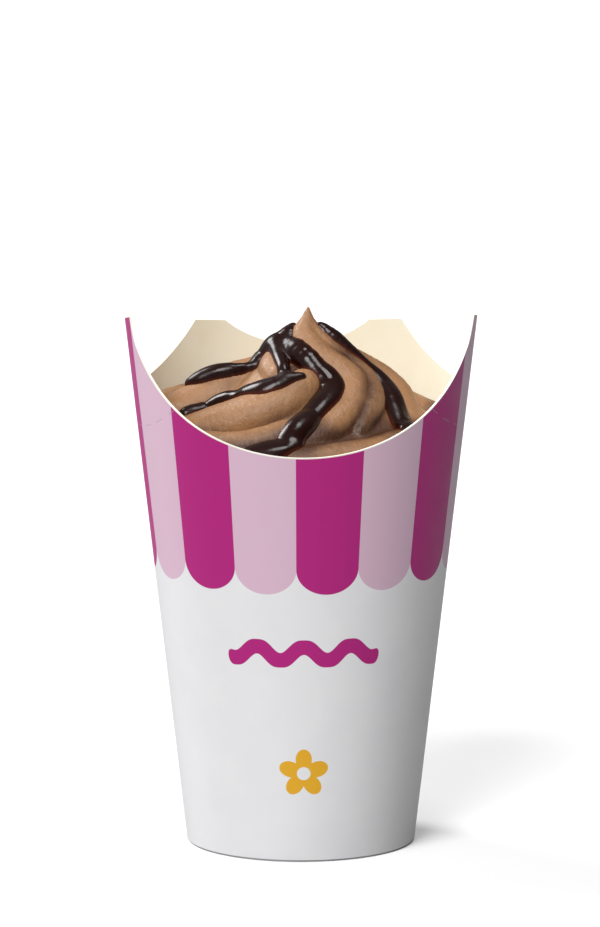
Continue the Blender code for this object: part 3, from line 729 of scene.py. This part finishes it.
FUDGE_LEFT = (
    (
        (-100, 3.4, 1.1, 0.9), (-80, 5.2, 2.1, 1.4), (-80, 7.3, 2.5, 1.6), (-87, 8.9, 2.8, 1.8),
        (-86, 10.4, 2.6, 1.7), (-78, 11.8, 1.7, 1.3),
    ),
    (
        (-77, 11.4, 0.9, 0.9), (-78, 13.4, 1.0, 1.0), (-79, 15.9, 1.4, 1.3), (-82, 18.8, 2.0, 1.7),
        (-85, 21.7, 2.3, 1.9), (-86, 24.0, 2.2, 1.8), (-87, 25.8, 1.5, 1.3),
    ),
    (
        (-78, 7.6, 1.9, 1.4), (-50, 8.7, 1.8, 1.4), (-33, 11.0, 1.6, 1.3), (-24, 13.4, 1.5, 1.3),
        (-18, 16.2, 1.5, 1.3),
    ),
    (
        (-6, 15.8, 1.0, 0.9), (-14, 16.6, 1.7, 1.2), (-22, 17.7, 2.3, 1.5), (-31, 18.9, 2.8, 1.6),
        (-40, 19.3, 2.6, 1.6), (-50, 19.0, 2.3, 2.1), (-60, 19.8, 2.3, 2.8), (-67, 21.6, 2.3, 2.9),
        (-70, 23.8, 2.1, 2.6), (-70, 26.3, 2.4, 2.6), (-70, 28.4, 2.0, 2.1),
    ),
    (
        (-72, 4.4, 1.6, 1.1), (-30, 6.3, 2.4, 1.5), (-5, 8.5, 2.7, 1.6), (9, 10.4, 3.0, 1.8),
        (19, 12.7, 3.6, 2.0), (21, 15.2, 3.7, 2.2), (16, 17.6, 3.6, 2.2), (8, 20.3, 3.4, 2.1),
        (1, 23.0, 3.2, 2.0), (-5, 27.0, 3.0, 1.8), (-10, 30.0, 3.0, 1.6), (-16, 32.2, 3.0, 1.5),
        (-22, 34.6, 2.7, 1.2),
    ),
    (
        (-6, 31.0, 1.8, 1.1), (-12, 33.4, 2.0, 1.1), (-18, 35.0, 1.7, 1.0), (-24, 36.2, 1.2, 0.9),
    ),
)
FUDGE_RIGHT = (
    (
        (98, 3.0, 1.4, 1.2), (92, 5.4, 2.7, 1.8), (85, 7.8, 2.6, 1.8), (83, 10.3, 2.4, 1.8),
        (81, 13.1, 2.7, 1.9), (79, 15.7, 3.1, 2.0), (75, 17.8, 3.3, 2.0), (69, 19.7, 3.1, 2.0),
        (62, 21.8, 3.1, 2.0), (56, 24.6, 3.1, 1.9), (52, 27.6, 2.7, 1.6), (49, 30.7, 2.1, 1.2),
    ),
)

print("ropes:", len(RIBS), "strands of fudge:", len(FUDGE_LEFT) + len(FUDGE_RIGHT))

# %% [markdown]
# Sculpting such folds by hand would give a shape that can't be measured. Here each rope is a distance:
# how far any point in space is from it. Two distances blend with a smooth minimum, which rounds the
# valley between them just as soft ice cream closes a valley.

# %% Distances to ropes


def mound_height(r):
    table = np.array(MOUND)
    return np.interp(r, table[:, 0], table[:, 1])


def mound_normal(azimuth, r):
    fall = (mound_height(r + 1.0) - mound_height(max(r - 1.0, 0.0))) / (1.0 + min(r, 1.0))
    a = math.radians(azimuth)
    n = np.array([-fall * math.sin(a), fall * math.cos(a), 1.0])
    return n / np.linalg.norm(n)


def around_axis(azimuth, r, z):
    a = math.radians(azimuth)
    return np.array([AXIS[0] + r * math.sin(a), AXIS[1] - r * math.cos(a), z])


def smooth_path(stations, steps):
    """A smooth curve through rows of numbers, with steps pieces between two rows."""
    rows = np.array(stations, float)
    slopes = np.gradient(rows, axis=0)
    curve = []
    for i in range(len(rows) - 1):
        for u in np.arange(steps) / steps:
            near = (2 * u**3 - 3 * u**2 + 1) * rows[i] + (u**3 - 2 * u**2 + u) * slopes[i]
            far = (3 * u**2 - 2 * u**3) * rows[i + 1] + (u**3 - u**2) * slopes[i + 1]
            curve.append(near + far)
    return np.array(curve + [rows[-1]])


def rope_of(rib):
    stations = []
    for azimuth, r, lift, radius in rib:
        crest = around_axis(azimuth, r, mound_height(r) + lift)
        stations.append((*(crest - radius * mound_normal(azimuth, r)), radius))
    return smooth_path(stations, RIB_STEPS)


def rope_distance(points, rope):
    best = np.full(len(points), 1e9)
    for a, b in zip(rope[:-1], rope[1:]):
        along = b[:3] - a[:3]
        away = points - a[:3]
        t = np.clip(away @ along / (along @ along), 0, 1)
        gap = away - t[:, None] * along
        best = np.minimum(best, np.sqrt(np.einsum("ij,ij->i", gap, gap)) - (a[3] + t * (b[3] - a[3])))
    return best


def melted(a, b, reach):
    h = np.clip(0.5 + 0.5 * (b - a) / reach, 0, 1)
    return b + (a - b) * h - reach * h * (1 - h)


cream_ropes = [rope_of(rib) for rib in RIBS.values()]


def cream_distance(points):
    r = np.hypot(points[:, 0] - AXIS[0], points[:, 1] - AXIS[1])
    d = (points[:, 2] - mound_height(r) + MOUND_DROP) * 0.7
    for rope in cream_ropes:
        d = melted(d, rope_distance(points, rope), MELT)
    return d


print("pieces of rope:", sum(len(rope) - 1 for rope in cream_ropes))

# %% [markdown]
# To turn distances into a mesh, rays leave one point deep in the heap and each stops where it comes
# out. The rays form rings round the peak, so the mesh gets its finest faces where the folds are
# finest. A coarse set of rays is solved with care, and a fine set only polishes what lies between.

# %% Rays from inside the heap
RAY_ORIGIN = np.array((0.0, 0.0, 78.0))
COLUMNS, RINGS, COARSE = 480, 144, 4
CROWDING = 1.45
INTO_WALL = 0.25  # the cream ends inside the board's thickness, so no air shows at its edge


def follow(distance, rays, start, steps):
    t = np.array(start, float)
    for _ in range(steps):
        t = np.maximum(t - 0.85 * np.clip(distance(RAY_ORIGIN + t[:, None] * rays), -0.5, 4.0), 0.0)
    return t


def reach_of_wall(rays):
    """How far along each ray the board is, so that nothing pokes through it."""
    outward = np.hypot(rays[:, 0], rays[:, 1]) - FLARE * rays[:, 2]
    inner = wall_radius(RAY_ORIGIN[2]) - PAPER + INTO_WALL
    return np.where(outward > 0.01, inner / np.maximum(outward, 0.01), 1e3)


def wall_ring():
    """Where the heap's surface meets the cup, found by halving."""
    turn = np.arange(COLUMNS) * 2 * math.pi / COLUMNS
    low, high = np.full(COLUMNS, 88.0), np.full(COLUMNS, 112.0)
    for _ in range(16):
        z = (low + high) / 2
        r = wall_radius(z) - PAPER + INTO_WALL
        buried = cream_distance(np.column_stack((r * np.sin(turn), -r * np.cos(turn), z))) < 0
        low, high = np.where(buried, z, low), np.where(buried, high, z)
    r = wall_radius(low) - PAPER + INTO_WALL
    return np.column_stack((r * np.sin(turn), -r * np.cos(turn), low))


def ray_grid(wall):
    """Directions as rings of columns; the ring at the peak is one point repeated."""
    tip = np.array((*AXIS, MOUND[0][1]))
    share = ((np.arange(RINGS + 1) / RINGS) ** CROWDING)[:, None, None]
    aims = tip + share * (wall - tip) + share * (1 - share) * np.array((0.0, 0.0, 6.0))
    rays = aims - RAY_ORIGIN
    return rays / np.linalg.norm(rays, axis=2)[:, :, None]


def spread(coarse):
    """Coarse ray lengths, read at the fine rays between them."""
    rows, columns = coarse.shape
    wrapped = np.hstack((coarse, coarse[:, :1]))
    at_column, at_ring = np.arange(COLUMNS) / COARSE, np.arange(RINGS + 1) / COARSE
    across = np.array([np.interp(at_column, np.arange(columns + 1), row) for row in wrapped])
    return np.array([np.interp(at_ring, np.arange(rows), column) for column in across.T]).T


wall_line = wall_ring()
rays = ray_grid(wall_line)
some = rays[::COARSE, ::COARSE]
reach = follow(cream_distance, some.reshape(-1, 3), np.full(some.shape[0] * some.shape[1], 52.0), 70)
reach = spread(reach.reshape(some.shape[:2]))
reach = follow(cream_distance, rays.reshape(-1, 3), reach.ravel() + 0.3, 9).reshape(reach.shape)
reach = np.minimum(reach, reach_of_wall(rays.reshape(-1, 3)).reshape(reach.shape))
reach[-1] = np.linalg.norm(wall_line - RAY_ORIGIN, axis=1)
reach[0] = reach[0].mean()
print("highest point: %.1f mm" % (RAY_ORIGIN[2] + reach[0, 0] * rays[0, 0, 2]))

# %% [markdown]
# Real soft serve isn't machined: air and ice leave slow swellings and little creases across the rope.
# They are true geometry here, a push of a tenth of a millimetre or two along each ray. Only the very
# fine grain is left to the material.

# %% Lumps and creases
LUMP, CREASE = 0.16, 0.07


def lumps(points):
    out = np.empty(len(points))
    for i, p in enumerate(points):
        v = Vector(p)
        crease = 1.0 - abs(noise_field.noise(v * 0.62)) * 2.2
        out[i] = LUMP * noise_field.noise(v * 0.23) + CREASE * max(crease, 0.0) ** 2
    return out


surface = RAY_ORIGIN + reach[:, :, None] * rays
calm = np.clip((RINGS - np.arange(RINGS + 1)) / 6.0, 0, 1) * np.clip(np.arange(RINGS + 1) / 10.0, 0, 1)
push = lumps(surface.reshape(-1, 3)).reshape(reach.shape) * calm[:, None]
reach = reach + push
surface = RAY_ORIGIN + reach[:, :, None] * rays
print("pushed out by up to %.2f mm" % push.max())

# %% [markdown]
# The visible heap is the top of one closed body that fills the cup, as the real filling does. Its
# side and bottom sink a quarter of a millimetre into the board, which hides the seam between them.

# %% The soft serve's mesh
FLOOR_TOP = 8.5


def grid_faces(rings, columns):
    faces = [(0, 1 + k, 1 + (k + 1) % columns) for k in range(columns)]
    for ring in range(rings - 1):
        a, b = 1 + ring * columns, 1 + (ring + 1) * columns
        for k in range(columns):
            m = (k + 1) % columns
            faces.append((a + k, b + k, b + m, a + m))
    return faces


def flat_list(grid):
    """The peak once, then every ring in turn."""
    return np.concatenate((grid[:1, 0], grid[1:].reshape(-1, *grid.shape[2:])))


def link_piece(name, mesh):
    piece = bpy.data.objects.new(name, mesh)
    scene.collection.objects.link(piece)
    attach(piece, "root")
    return piece


# Painted shade for the cream's colour: darker in the valleys between ropes, where shade falls, and near the
# wall, where the rim shades it.
PAINTED_SHADE_REACH = 7.0
WALL_SHADE_FROM, WALL_SHADE_TO = 27.0, 38.0  # painted shade darkens the cream from the first radius out to the second, towards the wall


def painted_shade_measure(points):
    """Painted shade: 0 on a rope's back and about 1 in a valley (none at the peak), from a wider blend of
    the ropes, plus up to 0.5 near the wall.
    """
    d = np.full(len(points), 1e9)
    for rope in cream_ropes:
        d = melted(d, rope_distance(points, rope), PAINTED_SHADE_REACH)
    at_wall = (np.hypot(points[:, 0], points[:, 1]) - WALL_SHADE_FROM) / (WALL_SHADE_TO - WALL_SHADE_FROM)
    from_peak = np.clip((np.hypot(points[:, 0] - AXIS[0], points[:, 1] - AXIS[1]) - 4.0) / 6.0, 0.0, 1.0)
    return from_peak * np.maximum(-d, 0.0) * 4 / PAINTED_SHADE_REACH + 0.5 * np.clip(at_wall, 0.0, 1.0)


heap = flat_list(surface)
bottom_z = FLOOR_TOP - 0.15
bottom_r = wall_radius(bottom_z) - PAPER + INTO_WALL
turn = np.arange(COLUMNS) * 2 * math.pi / COLUMNS
ring = np.column_stack((bottom_r * np.sin(turn), -bottom_r * np.cos(turn), np.full(COLUMNS, bottom_z)))
body = np.vstack((heap, ring, [(0.0, 0.0, bottom_z)])) * MM
faces = grid_faces(RINGS, COLUMNS)
edge, low = len(heap) - COLUMNS, len(heap)
for k in range(COLUMNS):
    m = (k + 1) % COLUMNS
    faces += [(edge + k, low + k, low + m, edge + m), (low + k, low + COLUMNS, low + m)]
mesh = bpy.data.meshes.new("soft_serve")
mesh.from_pydata(body.tolist(), [], faces)
mesh.shade_smooth()
# The fold attribute carries this painted shade to the cream's colour.
painted_shade_depth = np.zeros(len(body))
painted_shade_depth[: len(heap)] = painted_shade_measure(heap)
mesh.attributes.new("fold", "FLOAT", "POINT").data.foreach_set("value", painted_shade_depth)
soft_serve = link_piece("soft_serve", mesh)
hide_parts("ice_cream")
print("soft serve faces:", len(faces))

# %% [markdown]
# ## The hot fudge
# Warm fudge is poured in a line. It lies on the cream as a rounded bead with a wet rim, runs together
# where lines cross, and thins at its ends. Each strand is listed like a rope: angle, distance, half
# its width and the height of its bead, and its foot is found by dropping it onto the cream.

# %% Beads laid on the cream
STRAND_STEPS = 6
FUDGE_MELT = 1.3


def strand_ropes(strands):
    made = []
    for strand in strands:
        rows = smooth_path(strand, STRAND_STEPS)
        feet = np.array([around_axis(az, r, 126.0) for az, r, _, _ in rows])
        fall = np.zeros(len(feet))
        for _ in range(60):
            below = feet - fall[:, None] * np.array((0.0, 0.0, 1.0))
            fall = fall + np.clip(cream_distance(below), -0.4, 4.0) * 0.85
        stations = []
        for (az, r, half, bead), foot, drop in zip(rows, feet, fall):
            radius = (half**2 + bead**2) / (2 * bead)
            top = foot - (0.0, 0.0, drop)
            stations.append((*(top + (bead - radius) * mound_normal(az, r)), radius))
        made.append(np.array(stations))
    return made


def bead_height(strands):
    """How far the beads stand proud of the cream along each ray; below zero where there is none."""
    ropes = strand_ropes(strands)

    def distance(points):
        d = np.full(len(points), 1e9)
        for rope in ropes:
            d = melted(d, rope_distance(points, rope), FUDGE_MELT)
        return d

    flat_rays, base = rays.reshape(-1, 3), reach.ravel()
    t = base + 3.5
    height = np.full(len(base), -1.0)
    near = distance(RAY_ORIGIN + base[:, None] * flat_rays) < 3.0
    t = follow(distance, flat_rays[near], t[near], 24)
    height[near] = np.clip(t - base[near], -1.0, None)
    spot = RAY_ORIGIN + (base + np.maximum(height, 0.0))[:, None] * flat_rays
    in_board = np.hypot(spot[:, 0], spot[:, 1]) > wall_radius(spot[:, 2]) - PAPER + INTO_WALL
    height[in_board] = -1.0
    return height.reshape(reach.shape)


left_height = bead_height(FUDGE_LEFT)
right_height = bead_height(FUDGE_RIGHT)
print("beads stand %.1f and %.1f mm high" % (left_height.max(), right_height.max()))

# %% [markdown]
# The pour's mesh is cut out of the heap's own grid: each cell that the bead covers is kept, and cells
# that its edge crosses are cut along it. The underside is sunk a little into the cream, so the two
# wet surfaces meet in a line without a gap. Thickness is kept as an attribute for the colour.

# %% Pours as closed meshes
SUNK = 0.18
EDGE_KEEP = 0.03


def cut_pieces(height, faces):
    """Polygons inside the bead; a new corner on an edge is (i, j, share)."""
    kept = []
    for face in faces:
        tall = [height[i] for i in face]
        if max(tall) <= 0:
            continue
        loop = []
        for i, j, a, b in zip(face, face[1:] + face[:1], tall, tall[1:] + tall[:1]):
            if a > 0:
                loop.append((i, i, 0.0))
            if (a > 0) != (b > 0):
                low, high = (i, j) if i < j else (j, i)
                share = height[low] / (height[low] - height[high])
                loop.append((low, high, min(max(share, EDGE_KEEP), 1 - EDGE_KEEP)))
        if len(loop) > 2:
            kept.append(loop)
    return kept


def biggest(loops):
    """Drops specks: only polygons that hang together with the largest group stay."""
    owner = {}

    def root(v):
        while owner[v] != v:
            owner[v] = owner[owner[v]]
            v = owner[v]
        return v

    for loop in loops:
        for corner in loop:
            owner.setdefault(corner[:2], corner[:2])
            owner[root(corner[:2])] = root(loop[0][:2])
    groups = {}
    for loop in loops:
        groups.setdefault(root(loop[0][:2]), []).append(loop)
    return max(groups.values(), key=len)


def build_pour(name, height_grid):
    height, base = flat_list(height_grid), flat_list(reach)
    direction = flat_list(rays)
    loops = biggest(cut_pieces(height, grid_faces(RINGS, COLUMNS)))
    index, top, under, thick = {}, [], [], []
    for loop in loops:
        for i, j, share in loop:
            if (i, j) in index:
                continue
            index[i, j] = len(top)
            tall = max(height[i], 0.0) if i == j else 0.0
            ray = direction[i] + share * (direction[j] - direction[i])
            length = base[i] + share * (base[j] - base[i])
            ray = ray / np.linalg.norm(ray)
            top.append(RAY_ORIGIN + ray * (length + tall))
            under.append(RAY_ORIGIN + ray * (length - SUNK))
            thick.append(tall)
    count = len(top)
    upper = [tuple(index[c[:2]] for c in loop) for loop in loops]
    lower = [tuple(count + v for v in reversed(face)) for face in upper]
    seen = {}
    for face in upper:
        for a, b in zip(face, face[1:] + face[:1]):
            seen[a, b] = True
    skirt = [(b, a, count + a, count + b) for a, b in seen if (b, a) not in seen]
    mesh = bpy.data.meshes.new(name)
    mesh.from_pydata((np.array(top + under) * MM).tolist(), [], upper + lower + skirt)
    depth = mesh.attributes.new("depth", "FLOAT", "POINT")
    depth.data.foreach_set("value", thick + thick)
    mesh.shade_smooth()
    return link_piece(name, mesh)


fudge_left_pour = build_pour("fudge_left_pour", left_height)
fudge_right_pour = build_pour("fudge_right_pour", right_height)
for piece, node in ((fudge_left_pour, "fudge_left"), (fudge_right_pour, "fudge_right")):
    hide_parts(node)
    print(piece.name, "faces:", len(piece.data.polygons))

# %% [markdown]
# ## Food finishes
# Moist food isn't one even colour or gloss: fudge is darker where it is thicker, and both wander in
# slow random patches. One group makes that slow mottling, and cream and fudge each take it in their own
# size.

# %% Moist mottling
mottling, given, out = new_group("moist_mottling", {"Amount": 1.0}, ["Slow", "Streak"])
slow = noise(mottling, 7.0, detail=2.0, roughness=0.5)
streak = noise(mottling, 2.2, detail=2.0, roughness=0.55, stretch=(1.0, 1.0, 0.55), distortion=0.4)
for title, field in (("Slow", slow), ("Streak", streak)):
    centred = maths(mottling, "SUBTRACT", field, 0.5)
    mottling.links.new(maths(mottling, "MULTIPLY", centred, given.outputs["Amount"]), out.inputs[title])
print("group:", mottling.name)

# %% [markdown]
# Chocolate soft serve is pale brown, half matt, with a weak and broken gloss. A little light enters
# it, so a small subsurface weight with a reach of a few millimetres softens its shadows.

# %% Chocolate soft serve
# The deep brown serves both random darker patches and painted shade in the folds and near the wall.
CREAM_PALE = (0.300, 0.150, 0.066)
CREAM_MOTTLE_AND_SHADE = (0.060, 0.020, 0.007)
cream_mat, tree, shader = new_material("chocolate_soft_serve", CREAM_PALE, 0.5)
patches = use_group(tree, mottling, Amount=1.0)
# The fold attribute darkens the colour as painted shade in the valleys and near the wall; the mottling adds
# random darker patches.
fold = tree.nodes.new("ShaderNodeAttribute")
fold.attribute_name = "fold"
share = smooth_step(tree, fold.outputs["Fac"], 0.25, 1.15)
share = maths(tree, "MULTIPLY_ADD", patches.outputs["Slow"], 0.7, share)
share = maths(tree, "MULTIPLY_ADD", patches.outputs["Streak"], 0.35, share)
tree.links.new(blend_colours(tree, share, CREAM_PALE, CREAM_MOTTLE_AND_SHADE), shader.inputs["Base Color"])
tree.links.new(maths(tree, "MULTIPLY_ADD", patches.outputs["Slow"], 0.5, 0.44), shader.inputs["Roughness"])
shader.inputs["Subsurface Weight"].default_value = 0.1
shader.inputs["Subsurface Radius"].default_value = (1.0, 0.5, 0.25)
shader.inputs["Subsurface Scale"].default_value = 0.0012
shader.inputs["Specular IOR Level"].default_value = 0.42
wrinkles = noise(tree, 0.9, detail=4.0, roughness=0.6, stretch=(1.0, 1.0, 0.7), distortion=0.8)
bump(tree, shader, wrinkles, 0.28, 0.85)
soft_serve.data.materials.append(cream_mat)
print("finish:", cream_mat.name)

# %% [markdown]
# Fudge is nearly black where it is thick and a dark red brown where light gets through its thin edge.
# Its surface is smooth as glass with slow waves, so the gloss is sharp but never quite even.

# %% Hot fudge
FUDGE_THICK = (0.011, 0.002, 0.0012)
FUDGE_THIN = (0.055, 0.010, 0.004)
fudge_mat, tree, shader = new_material("hot_fudge_gloss", FUDGE_THICK, 0.16)
depth = tree.nodes.new("ShaderNodeAttribute")
depth.attribute_name = "depth"
patches = use_group(tree, mottling, Amount=1.0)
thickness = maths(tree, "MULTIPLY_ADD", patches.outputs["Slow"], 0.7, depth.outputs["Fac"])
share = smooth_step(tree, thickness, 0.1, 0.9)
tree.links.new(blend_colours(tree, share, FUDGE_THIN, FUDGE_THICK), shader.inputs["Base Color"])
tree.links.new(maths(tree, "MULTIPLY_ADD", patches.outputs["Slow"], 0.5, 0.21), shader.inputs["Roughness"])
shader.inputs["Specular IOR Level"].default_value = 0.28
waves = noise(tree, 3.0, detail=1.0, roughness=0.4)
bump(tree, shader, waves, 0.25, 0.5)
for piece in (fudge_left_pour, fudge_right_pour):
    piece.data.materials.append(fudge_mat)
print("finish:", fudge_mat.name)

# %% [markdown]
# ## Sizes and the end
# How far the visual model's box reaches past the box of the solids is printed for each side, in mm.
# The visual model has to stay inside the box of the solids.

# %% Sizes
visual_box = [list(corner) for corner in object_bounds()]
grown = [[round((v - s) / MM, 2) for v, s in zip(a, b)] for a, b in zip(visual_box, solid_box)]
print("grown by, in mm:", grown)
